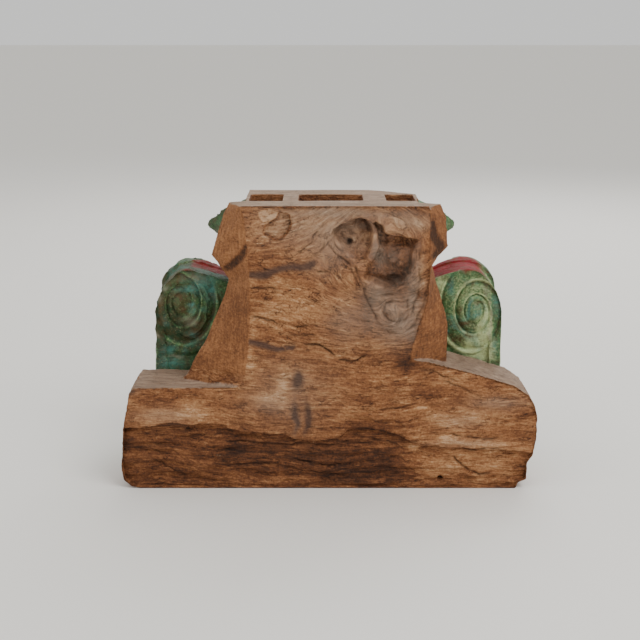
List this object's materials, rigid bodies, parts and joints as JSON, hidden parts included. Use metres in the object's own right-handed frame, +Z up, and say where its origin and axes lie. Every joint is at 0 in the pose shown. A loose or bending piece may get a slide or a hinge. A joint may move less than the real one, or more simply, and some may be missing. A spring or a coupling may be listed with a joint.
{
  "type": "carved column capital",
  "caption": "Old timber column capital hewn from one block: rough log-like back, carved painted front with scrolls, palmette and moulded plinth, mortises in the top",
  "frame": {"origin": "bottom centre of the overall box, on the surface that the capital stands on", "axes": "+X along the log, +Y from the rough back to the carved front, +Z up"},
  "size_m": [0.524, 0.204, 0.36],
  "materials": {
    "aged_timber": "weathered brown timber, rough and fibrous, with old green and red paint on the carving"
  },
  "bodies": {
    "root": {"carved_capital": "aged_timber"}
  },
  "joints": []
}
